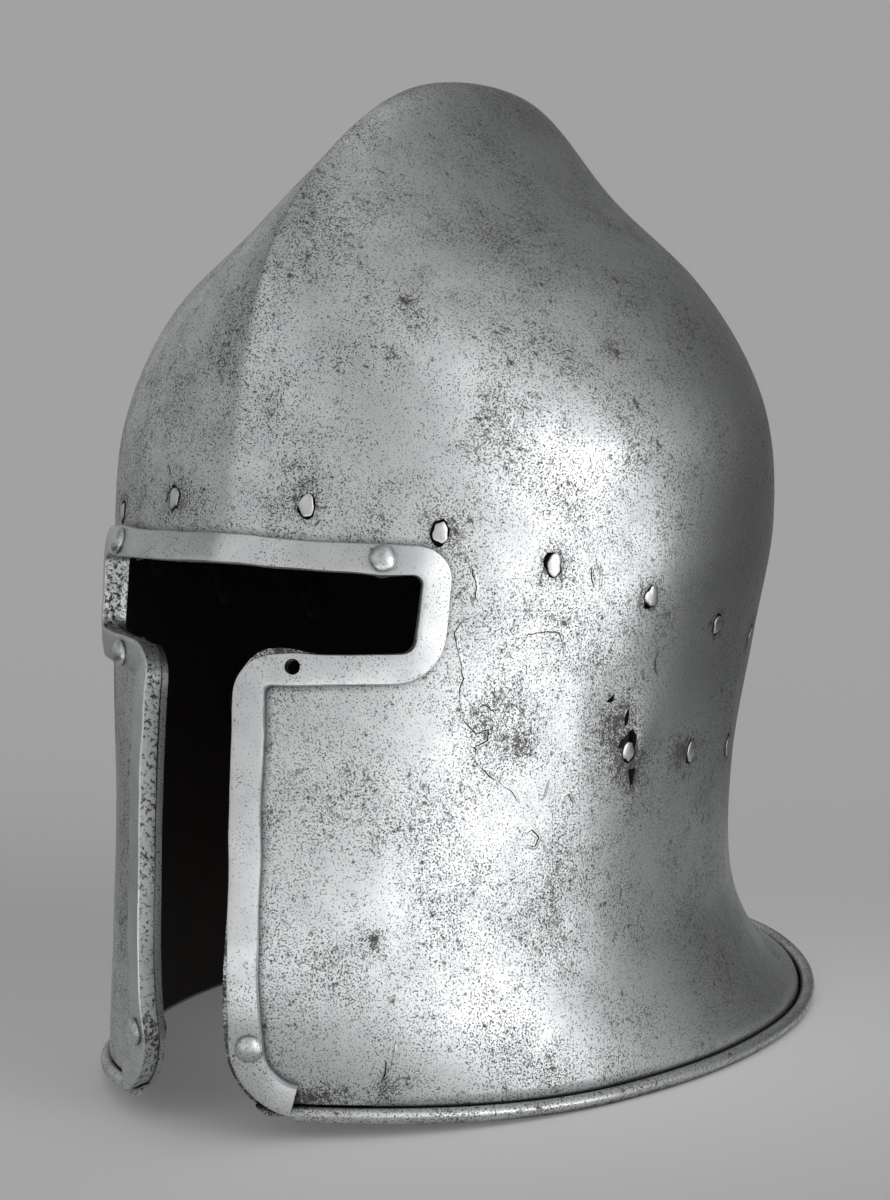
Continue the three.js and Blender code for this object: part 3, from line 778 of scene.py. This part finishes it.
def slit_tool():
    """The body that opens the plate between the cheeks, a little inside the band's edge."""
    path, away = band_path()
    distance, z = path.T
    sill = sill_peek(distance) * np.clip((z - SILL + SILL_DROP) / SILL_RUN, 0, 1)
    foot = PEEK_FOOT * np.clip((FOOT_FROM - z) / FOOT_RUN, 0, 1) * (distance > 0)
    shown = path - away * (PEEK_SLIT + sill + foot)[:, None]
    edges = []
    for side in (-1, 1):
        reach = distance * side
        edge = shown[(reach > 0) & (reach < EYE_END / 2) & (z < SILL + 1)]
        edges.append(edge[np.argsort(edge[:, 1])])
    top = min(edge[-1, 1] for edge in edges)
    end = max(edge[0, 1] for edge in edges)
    rows = np.concatenate([[-CUT_DEPTH, end - 0.01], np.linspace(end, top, SLIT_ROWS), [top + SLIT_OVERLAP]])
    low, high = (np.interp(rows, edge[:, 1], edge[:, 0]) for edge in edges)
    low[:2], high[:2] = edges[0][0, 0] - FOOT_MARGIN, edges[1][0, 0] + FOOT_MARGIN
    columns = mix(low[:, None], high[:, None], np.linspace(0, 1, SLIT_COLUMNS)[None, :])
    return slab(columns, np.repeat(rows[:, None], SLIT_COLUMNS, 1), -CUT_DEPTH, CUT_DEPTH)


def drill(spot, radius, tall=1.0, lumps=0.0, seed=0.0):
    """A body for a rivet's hole."""
    depth = CUT_DEPTH / 2
    return turned(spot, ((radius, depth), (radius, -depth)), DRILL_SIDES, tall=tall, lumps=lumps, seed=seed)


def flush_spots():
    """The places of the flush rivets on both sides, with the plug in the tear."""
    rows = [(side * distance, z) for distance, z in (*LINING_ROW, *STRAP_ROW) for side in (1, -1)]
    return [*rows, PLUG]


# Sections of a lifted lip and of the dark line beside its step, partly the gap under the lifted layer and
# partly painted shade: offset across the run and height over the plate.
LIP_SECTION = ((-1.6, -0.3), (-0.25, 0.2), (0.12, 0.16), (0.16, -0.3))
GAP_AND_SHADE_SECTION = ((0.05, -0.3), (0.08, 0.06), (0.46, 0.04), (0.5, -0.3))

# A lip's corner radius and steps, size and reach of its swings, and its share of thickness at the tips with
# the steps to the full one. A line's thickness varies over a length, by a middle share, a swing and a least
# share.
LIP_CORNER, LIP_STATION, SWING_SIZE, SWING_REACH = 0.6, 0.9, 2.6, 0.45
TIP_SHARE, TIP_STEPS = 0.25, 3
GAP_SIZE, GAP_MIDDLE, GAP_SWING, GAP_LEAST = 6, 0.8, 1.4, 0.12
SWING_SEED, GAP_SEED = 40, 80


def lip_bodies(section, size, gaps=False):
    """Thin closed bodies along the lips, tapering to their ends and, with gaps, thinning out in places."""
    bodies = []
    for number, run in enumerate(LIPS):
        path = rounded([(*spot, LIP_CORNER) for spot in run], LIP_STATION)
        flat = np.concatenate([path, np.zeros((len(path), 1))], 1)
        swings = [wander(flat, SWING_SIZE, seed) for seed in (number, number + SWING_SEED)]
        path = path + np.stack(swings, -1) * SWING_REACH
        course = unit(np.gradient(path, axis=0))
        across = np.stack([course[:, 1], -course[:, 0]], -1)
        steps = np.arange(len(path))
        taper = np.minimum(1, TIP_SHARE + np.minimum(steps, steps[::-1]) / TIP_STEPS)
        if gaps:
            thin = GAP_MIDDLE + GAP_SWING * wander(flat, GAP_SIZE, number + GAP_SEED)
            taper = taper * np.clip(thin, GAP_LEAST, 1)
        offset, height = (np.array(values) for values in zip(*section))
        spots = path[:, None, :] + across[:, None, :] * (offset[None, :] * taper[:, None])[..., None]
        at = surface_point(spots[..., 0], spots[..., 1])
        swell = uneven(at, size)
        tops = np.where(height > 0, height * taper[:, None], height) + swell
        rings = lift(spots[..., 0], spots[..., 1], tops)
        bodies.append(skin(rings, [rings[0].mean(0), rings[-1].mean(0)]))
    return joined(bodies)


# A flush rivet is taller than wide and uneven; its hole follows it, nearly, with a dark gap round it.
FLUSH_TALL, FLUSH_LUMPS, FLUSH_GAP, HOLE_SEED = 1.3, 0.35, 0.5, 0.35

# Radii of the holes for the band's rivets in the plate and in the band, and how uneven the band's are.
PLATE_HOLE, BAND_HOLE, BAND_HOLE_LUMPS, BAND_HOLE_SEED = 2.3, 2.35, 0.06, 2.0

# Angles in degrees from which an edge of the plate, the band and the rivets is hard.
PLATE_HARD, BAND_HARD, RIVET_HARD = 40, 34, 55


class BARBUTE_OT_skull(bpy.types.Operator):
    """Raises the plate with its ridge, rolled rim, face opening, holes, dents and lifted layers"""

    bl_idname = "barbute.skull"
    bl_label = "Skull"

    def execute(self, context):
        size = sizes()
        steel = pitted_steel("Raised steel, hammered and polished, pitted", roughness=0.3, pitting=0.0)
        inside = scaled_iron("Iron inside, forge-scaled", looks("scale"), looks("rust"), 0.8)
        crack = scaled_iron("Iron cracks, rust-filled", looks("pit_and_shade"), looks("scale"), 0.9)
        rings, outside = plate_rings(size)
        points, faces = skin(rings, [(0, 0, HEIGHT), (0, 0, HEIGHT - CROWN_WALL)])
        shades = np.full(len(faces), STEEL)
        shades[AROUND * outside :] = INSIDE
        metals = [steel, inside, crack]
        piece = add_mesh("raised_skull", points, faces, metals, shades)
        holes = [
            drill(spot, size["flush"] + FLUSH_GAP, FLUSH_TALL, FLUSH_LUMPS, number + HOLE_SEED)
            for number, spot in enumerate(flush_spots())
        ]
        holes += [drill(spot, PLATE_HOLE) for spot in (*BAND_RIVETS.values(), LOST_RIVET)]
        tears = [punch(spot, outline, CUT_DEPTH / 2) for spot, outline in TEARS]
        cut(piece, [eye_tool(), slit_tool()], STEEL)
        cut(piece, [joined(holes), *tears], CRACK)
        lips = add_mesh("lips", *lip_bodies(LIP_SECTION, size), metals)
        # The dark lines beside the lips: the gap under each lifted layer, and painted shade at its step.
        points, faces = lip_bodies(GAP_AND_SHADE_SECTION, size, gaps=True)
        lip_gaps_and_shade = add_mesh("lip_gaps_and_shade", points, faces, metals, [CRACK] * len(faces))
        with context.temp_override(active_object=piece, selected_editable_objects=[piece, lips, lip_gaps_and_shade]):
            bpy.ops.object.join()
        crisp(piece, PLATE_HARD)
        rivets = [(*spot, *FLUSH_STAIN) for spot in flush_spots()]
        # Stains, and painted shade where the plate shows past the band.
        stain_and_shade(piece, [*STAINS_AND_SHADE, *rivets])
        place(piece, ["skull"])
        return {"FINISHED"}


# Waves of the band's width, edge and height: size in millimetres and reach, as a share, in millimetres and
# as a share. Beside a rivet the band is wider by a bulge that fades over a radius, part of it towards the
# opening.
WIDTH_WAVE, EDGE_WAVE, TALL_WAVE = (16, 0.05), (11, 0.3), (13, 0.06)
BULGE, BULGE_RADIUS, BULGE_INWARD = 0.8, 5.5, 0.6


class BARBUTE_OT_face_band(bpy.types.Operator):
    """Forges the strip round the face opening, with its wavy edges and rivet holes"""

    bl_idname = "barbute.face_band"
    bl_label = "Face band"

    def execute(self, context):
        size = sizes()
        path, away = band_path()
        share, height = (np.array(values) for values in zip(*BAND_SECTION))
        flat = np.concatenate([path, np.zeros((len(path), 1))], 1)
        width, edge, swell = (
            reach * wander(flat, wave, seed)
            for seed, (wave, reach) in enumerate((WIDTH_WAVE, EDGE_WAVE, TALL_WAVE), 3)
        )
        width = size["band"] * (1 + width)
        spots = (*BAND_RIVETS.values(), LOST_RIVET)
        for spot in spots:
            near = np.linalg.norm(path + away * size["band"] / 2 - spot, axis=1)
            bulge = BULGE * np.exp(-((near / BULGE_RADIUS) ** 2))
            edge, width = edge - bulge * BULGE_INWARD, width + bulge
        across = edge[:, None] + share[None, :] * width[:, None]
        grid = path[:, None, :] + away[:, None, :] * across[..., None]
        tall = height[None, :] * (1 + swell)[:, None]
        rings = lift(grid[..., 0], grid[..., 1], tall)
        points, faces = skin(rings, [rings[0].mean(0), rings[-1].mean(0)])
        steel = pitted_steel("Forged steel strip, filed", roughness=0.3, pitting=-0.07)
        worn = pitted_steel("Forged steel edge, worn and pitted", roughness=0.44, pitting=0.02, grain=1.3)
        ring = len(BAND_SECTION)
        shades = np.arange(len(faces)) % ring < BAND_EDGE_FACES
        shades[:ring] = shades[-ring:] = False
        piece = add_mesh("forged_face_band", points, faces, [steel, worn], shades)
        uneven_hole = {"lumps": BAND_HOLE_LUMPS, "seed": BAND_HOLE_SEED}
        cut(piece, [joined([drill(spot, BAND_HOLE, **uneven_hole) for spot in spots])], STEEL)
        crisp(piece, BAND_HARD)
        stain_and_shade(piece, [(*spot, *BAND_STAIN) for spot in spots])
        place(piece, ["face_band"])
        return {"FINISHED"}


# A band rivet's dome: height of its seat, of its foot over that and of the dome itself, angle from which it
# opens and steps, share of the head's radius underneath, sides and unevenness. Then its shank and back:
# radius and height.
DOME_SEAT, DOME_FOOT, DOME_TALL, DOME_FROM, DOME_STEPS = 4.8, 0.3, 2.1, 0.12, 9
DOME_UNDER, DOME_SIDES, DOME_LUMPS, DOME_SEED = 0.95, 28, 0.12, 2.3
SHANK = 2.0
DOME_BACK = ((SHANK, -2.4), (4.2, -2.5), (3.4, -3.8))


class BARBUTE_OT_band_rivets(bpy.types.Operator):
    """Sets the domed rivets on the band's sloping face"""

    bl_idname = "barbute.band_rivets"
    bl_label = "Band rivets"

    def execute(self, context):
        size = sizes()
        head, under = size["head"], DOME_SEAT - DOME_FOOT
        path, away = band_path()
        rise = np.linspace(DOME_FROM, math.pi / 2, DOME_STEPS)
        profile = [(head * math.sin(a), DOME_SEAT + DOME_FOOT + DOME_TALL * math.cos(a)) for a in rise]
        profile += [(head * DOME_UNDER, under), (SHANK, under), *DOME_BACK]
        parts = []
        for number, spot in enumerate(BAND_RIVETS.values()):
            near = np.argmin(np.linalg.norm(path + away * size["band"] / 2 - spot, axis=1))
            lean = away[near] * BAND_SLOPE
            parts.append(turned(spot, profile, DOME_SIDES, lean, lumps=DOME_LUMPS, seed=number * DOME_SEED))
        points, faces = joined(parts)
        iron = pitted_steel("Iron rivets, hammered", roughness=0.3, pitting=-0.06)
        piece = add_mesh("band_rivets", points, faces, [iron])
        crisp(piece, RIVET_HARD)
        place(piece, list(BAND_RIVETS))
        return {"FINISHED"}


# A flush rivet's low head in the same way, where its shank ends, and its back: radius and height.
HEAD_FOOT, HEAD_TALL, HEAD_FROM, HEAD_STEPS, HEAD_SIDES = 0.3, 0.35, 0.3, 5, 22
SHANK_END, FLUSH_BACK = -2.6, ((5.0, -2.7), (4.2, -4.0))


class BARBUTE_OT_lining_rivets(bpy.types.Operator):
    """Sets the flush rivets of the lost lining and strap, and the plug in the tear"""

    bl_idname = "barbute.lining_rivets"
    bl_label = "Lining rivets"

    def execute(self, context):
        radius = sizes()["flush"]
        rise = np.linspace(HEAD_FROM, math.pi / 2, HEAD_STEPS)
        profile = [(radius * math.sin(a), HEAD_FOOT + HEAD_TALL * math.cos(a)) for a in rise]
        profile += [(radius, SHANK_END), *FLUSH_BACK]
        parts = [
            turned(spot, profile, HEAD_SIDES, tall=FLUSH_TALL, lumps=FLUSH_LUMPS, seed=number)
            for number, spot in enumerate(flush_spots())
        ]
        points, faces = joined(parts)
        shades = np.arange(len(faces)) % len(parts[0][1]) >= HEAD_SIDES * HEAD_STEPS
        iron = pitted_steel("Iron rivets, filed flush", roughness=0.3, pitting=-0.12)
        back = scaled_iron("Iron rivet backs, forge-scaled", looks("scale"), looks("rust"), 0.8)
        piece = add_mesh("lining_rivets", points, faces, [iron, back], shades)
        crisp(piece, RIVET_HARD)
        flush = ("lining_rivet", "strap_rivet", "plug_rivet")
        place(piece, [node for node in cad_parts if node.startswith(flush)])
        return {"FINISHED"}


# The photograph's view: azimuth, elevation and roll in degrees, distance and aim in millimetres, focal length
# in pixels of the 890 by 1200 frame, and the sensor's long side in millimetres.
AZIMUTH, ELEVATION, ROLL = 33.73, 9.03, -1.63
DISTANCE, AIM_Y, AIM_Z = 1301.0, -4.16, 139.4
FOCAL, FRAME_LONG, SENSOR = 4096.65, 1200, 36

# Soft light round the helmet: azimuth, elevation, how narrow each glow is, and its radiance.
GLOWS = (
    (-120, 8, 20, 0.23),
    (-95, 8, 20, 0.25),
    (-70, 8, 20, 0.33),
    (-48, 8, 20, 0.32),
    (-28, 8, 20, 0.37),
    (-8, 8, 20, 0.2),
    (12, 8, 20, 0.4),
    (32, 8, 20, 0.54),
    (52, 8, 20, 0.2),
    (72, 8, 20, 1.36),
    (80, 12, 60, 0.75),
    (92, 8, 20, 1.48),
    (92, 8, 60, 1.1),
    (112, 8, 20, 0.15),
    (135, 8, 20, 0.26),
    (-10, 36, 12, 0.76),
    (70, 36, 12, 1.1),
    (110, 36, 12, 0.24),
    (30, 70, 8, 0.33),
    (150, 62, 9, 0.46),
    (215, 0, 3, 0.16),
    (-110, 45, 6, 0.3),
)

# Light panels that lie on the floor outside the picture: from and to across the view, from and to along it,
# in metres, and radiance.
PANELS = {
    "front_panel": (-0.5, 0.24, -1.25, -0.27, 1.2),
    "side_panel": (0.24, 1.2, -0.75, -0.1, 1.65),
}
PANEL_HEIGHT = 0.003

# The floor: sides of its ring, radius of the part that the steel reflects and of the whole, in metres.
# Below, how strongly the painted pool of light in the floor glows under the helmet and how far.
FLOOR_SIDES, FLOOR_NEAR, FLOOR_FAR = 96, 0.32, 40.0
PAINTED_FLOOR_GLOW, PAINTED_GLOW_SPREAD = 0.22, 0.16


def direction(azimuth, elevation):
    """The way from the helmet towards an azimuth and elevation."""
    a, e = math.radians(azimuth), math.radians(elevation)
    return Vector((math.sin(a) * math.cos(e), -math.cos(a) * math.cos(e), math.sin(e)))


def view_axes():
    """The floor directions across and along the view."""
    along = -direction(AZIMUTH, 0)
    return Vector((along.y, -along.x, 0)), along


def add_world():
    """A dark room with soft glows in some directions."""
    world = bpy.data.worlds.new("studio")
    world.use_nodes = True
    tree = world.node_tree
    tree.nodes.clear()
    look = add(tree, "ShaderNodeTexCoord", {}, "Generated")
    total = 0.0
    for azimuth, elevation, narrow, radiance in GLOWS:
        toward = {0: look, 1: direction(azimuth, elevation)}
        glow = add(tree, "ShaderNodeVectorMath", toward, "Value", operation="DOT_PRODUCT")
        glow = add(tree, "ShaderNodeMath", {0: glow, 1: narrow, 2: -narrow}, operation="MULTIPLY_ADD")
        glow = add(tree, "ShaderNodeMath", {0: glow}, operation="EXPONENT")
        total = add(tree, "ShaderNodeMath", {0: glow, 1: radiance, 2: total}, operation="MULTIPLY_ADD")
    shader = add(tree, "ShaderNodeBackground", {"Color": total})
    add(tree, "ShaderNodeOutputWorld", {"Surface": shader})
    bpy.context.scene.world = world


def add_panels():
    """The light panels, each facing up."""
    across, along = view_axes()
    for name, (left, right, near, far, radiance) in PANELS.items():
        data = bpy.data.lights.new(name, "AREA")
        data.shape = "RECTANGLE"
        data.size, data.size_y = right - left, far - near
        data.energy = radiance * math.pi * data.size * data.size_y
        lamp = add_object(name, data)
        middle = across * (left + right) / 2 + along * (near + far) / 2 + Vector((0, 0, PANEL_HEIGHT))
        turn = Matrix((across, -along, Vector((0, 0, -1)))).transposed().to_4x4()
        lamp.matrix_world = Matrix.Translation(middle) @ turn


def add_floor():
    """The plain pale floor: matt acrylic, pale and even with no gloss, with a painted pool of light glowing
    round the helmet.
    """
    material, tree = new_material("Studio acrylic, matt")
    at = add(tree, "ShaderNodeTexCoord", {}, "Object")
    # Painted light: the floor glows in a pool round the helmet, strongest under it.
    away = add(tree, "ShaderNodeVectorMath", {0: at}, "Value", operation="LENGTH")
    away = add(tree, "ShaderNodeMath", {0: away, 1: 1 / PAINTED_GLOW_SPREAD}, operation="MULTIPLY")
    away = add(tree, "ShaderNodeMath", {0: away, 1: 2.0}, operation="POWER")
    away = add(tree, "ShaderNodeMath", {0: away, 1: -1.0}, operation="MULTIPLY")
    glow = add(tree, "ShaderNodeMath", {0: away}, operation="EXPONENT")
    glow = add(tree, "ShaderNodeMath", {0: glow, 1: PAINTED_FLOOR_GLOW}, operation="MULTIPLY")
    matt = {"Base Color": looks("floor"), "Roughness": 1.0, "Specular IOR Level": 0.0}
    lit = {"Emission Color": looks("floor"), "Emission Strength": glow}
    shader = add(tree, "ShaderNodeBsdfPrincipled", {**matt, **lit})
    add(tree, "ShaderNodeOutputMaterial", {"Surface": shader})
    turns = [2 * math.pi * i / FLOOR_SIDES for i in range(FLOOR_SIDES)]
    spokes = [Vector((math.cos(a), math.sin(a), 0)) for a in turns]
    sides = range(FLOOR_SIDES)
    near = [spoke * FLOOR_NEAR for spoke in spokes]
    rings = {
        "floor": (near, [tuple(sides)]),
        "floor_far": (
            near + [spoke * FLOOR_FAR for spoke in spokes],
            [(i, i + FLOOR_SIDES, (i + 1) % FLOOR_SIDES + FLOOR_SIDES, (i + 1) % FLOOR_SIDES) for i in sides],
        ),
    }
    for name, (points, faces) in rings.items():
        mesh = bpy.data.meshes.new(name)
        mesh.from_pydata(points, [], faces)
        mesh.materials.append(material)
        sheet = add_object(name, mesh)
        # Dark flags keep the far floor out of the steel, as in a studio.
        sheet.visible_glossy = name == "floor"


class BARBUTE_OT_stage(bpy.types.Operator):
    """Sets the floor, the light and the camera"""

    bl_idname = "barbute.stage"
    bl_label = "Stage"

    def execute(self, context):
        scene = context.scene
        aim = Vector((0, AIM_Y + DEPTH_SHIFT, AIM_Z)) * MM
        add_floor()
        add_world()
        add_panels()
        scene.view_settings.view_transform = "Standard"
        data = bpy.data.cameras.new("camera")
        data.sensor_width = SENSOR
        data.lens = FOCAL / FRAME_LONG * SENSOR
        camera = add_object("camera", data)
        way = direction(AZIMUTH, ELEVATION)
        turn = way.to_track_quat("Z", "Y").to_matrix().to_4x4()
        spin = Matrix.Rotation(math.radians(ROLL), 4, "Z")
        camera.matrix_world = Matrix.Translation(aim + way * DISTANCE * MM) @ turn @ spin
        scene.camera = camera
        return {"FINISHED"}


class BARBUTE_PT_panel(bpy.types.Panel):
    """Lists the helmet's sizes, finishes and pieces"""

    bl_idname = "BARBUTE_PT_panel"
    bl_label = "Barbute"
    bl_space_type = "VIEW_3D"
    bl_region_type = "UI"
    bl_category = "Barbute"

    def draw(self, context):
        for group in (context.scene.barbute_sizes, context.scene.barbute_looks):
            for name in group.__annotations__:
                self.layout.prop(group, name)
        for operator in OPERATORS:
            self.layout.operator(operator.bl_idname)


OPERATORS = (
    BARBUTE_OT_skull,
    BARBUTE_OT_face_band,
    BARBUTE_OT_band_rivets,
    BARBUTE_OT_lining_rivets,
    BARBUTE_OT_stage,
)
CLASSES = (BarbuteSizes, BarbuteLooks, *OPERATORS, BARBUTE_PT_panel)


def register():
    for cls in CLASSES:
        bpy.utils.register_class(cls)
    bpy.types.Scene.barbute_sizes = bpy.props.PointerProperty(type=BarbuteSizes)
    bpy.types.Scene.barbute_looks = bpy.props.PointerProperty(type=BarbuteLooks)


def unregister():
    del bpy.types.Scene.barbute_looks
    del bpy.types.Scene.barbute_sizes
    for cls in reversed(CLASSES):
        bpy.utils.unregister_class(cls)


def main():
    register()
    bpy.ops.barbute.skull()
    bpy.ops.barbute.face_band()
    bpy.ops.barbute.band_rivets()
    bpy.ops.barbute.lining_rivets()
    bpy.ops.barbute.stage()


if __name__ == "__main__":
    main()
